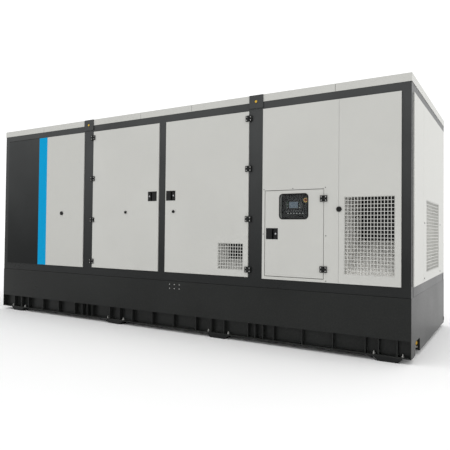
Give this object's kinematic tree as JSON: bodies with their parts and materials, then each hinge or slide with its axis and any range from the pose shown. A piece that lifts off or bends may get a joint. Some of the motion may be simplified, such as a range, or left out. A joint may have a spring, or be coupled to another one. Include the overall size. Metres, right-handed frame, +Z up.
{
  "type": "canopied diesel generator set",
  "caption": "Sound proofed diesel generator set in a steel canopy on a skid base, with hinged service doors, a control door with a window, paddle latches and perforated air grilles.",
  "frame": {"origin": "ground level, under the middle of the base", "axes": "+X along the set towards the air inlet end, -Y the side with the service and control doors, +Z up"},
  "size_m": [5.876, 2.334, 2.665],
  "materials": {
    "light_paint": "satin",
    "dark_paint": "semi gloss",
    "base_paint": "semi gloss",
    "black_metal": "satin",
    "black_rubber": "matte",
    "tank_steel": "satin",
    "brass": "satin",
    "glass": "clear",
    "engine_paint": "satin",
    "radiator_aluminium": "satin",
    "silencer_steel": "satin",
    "cabinet_paint": "satin"
  },
  "bodies": {
    "frame": {"base_rails": "base_paint", "base_skirts": "base_paint", "base_end_right": "base_paint", "base_end_left": "base_paint", "base_deck": "base_paint", "fuel_tank": "tank_steel", "skid_feet": "black_metal", "drain_valve": "brass", "corner_posts": "dark_paint", "lifting_posts": "dark_paint", "mid_posts": "dark_paint", "sill_rails": "dark_paint", "head_rails": "dark_paint", "lifting_plates": "dark_paint", "radiator_bay_panel": "light_paint", "control_bay_panel": "light_paint", "inlet_panel": "light_paint", "inlet_grille": "light_paint", "end_panels_right": "light_paint", "end_grille_right": "light_paint", "end_panels_left": "dark_paint", "rear_panels": "light_paint", "rear_doors": "light_paint", "rear_grilles": "light_paint", "rear_fittings": "black_metal", "hinge_leaves_frame": "black_metal", "buffers_frame": "black_rubber", "roof_panels": "light_paint", "roof_discharge_grille": "black_metal", "engine": "engine_paint", "air_filters": "black_metal", "alternator": "engine_paint", "machine_mounts": "black_rubber", "radiator": "radiator_aluminium", "cooling_fan": "black_metal", "silencer": "silencer_steel", "exhaust_pipe": "silencer_steel", "control_cabinet": "cabinet_paint", "inlet_baffle": "light_paint"},
    "left_door": {"door_left": "light_paint", "hinge_leaves_left": "black_metal", "latch_left": "black_metal", "buffer_left": "black_rubber"},
    "right_door": {"door_right": "light_paint", "door_right_grille": "light_paint", "hinge_leaves_right": "black_metal", "latch_right": "black_metal", "buffer_right": "black_rubber"},
    "control_door": {"control_door": "light_paint", "control_window": "glass", "window_gasket": "black_rubber", "hinge_leaves_control": "black_metal", "latch_control": "black_metal"},
    "left_paddle": {"paddle_left": "black_metal"},
    "right_paddle": {"paddle_right": "black_metal"},
    "control_paddle": {"paddle_control": "black_metal"}
  },
  "joints": [
    {"name": "left_door_hinge", "type": "hinge", "parent": "frame", "child": "left_door", "pos_m": [-1.0845, -1.159, 1.601], "axis": [0, 0, -1], "range_deg": [0, 180]},
    {"name": "right_door_hinge", "type": "hinge", "parent": "frame", "child": "right_door", "pos_m": [1.2545, -1.159, 1.601], "axis": [0, 0, -1], "range_deg": [-180, 0]},
    {"name": "control_door_hinge", "type": "hinge", "parent": "frame", "child": "control_door", "pos_m": [2.1025, -1.159, 1.178], "axis": [0, 0, 1], "range_deg": [0, 120]},
    {"name": "left_paddle_pin", "type": "hinge", "parent": "left_door", "child": "left_paddle", "pos_m": [-0.021, -1.141, 1.6125], "axis": [0, 0, -1], "range_deg": [-40, 0], "stiffness_Nm_per_rad": 0.6},
    {"name": "right_paddle_pin", "type": "hinge", "parent": "right_door", "child": "right_paddle", "pos_m": [0.155, -1.141, 1.6125], "axis": [0, 0, -1], "range_deg": [0, 40], "stiffness_Nm_per_rad": 0.6},
    {"name": "control_paddle_pin", "type": "hinge", "parent": "control_door", "child": "control_paddle", "pos_m": [1.486, -1.141, 1.1745], "axis": [0, 0, -1], "range_deg": [0, 40], "stiffness_Nm_per_rad": 0.6}
  ]
}
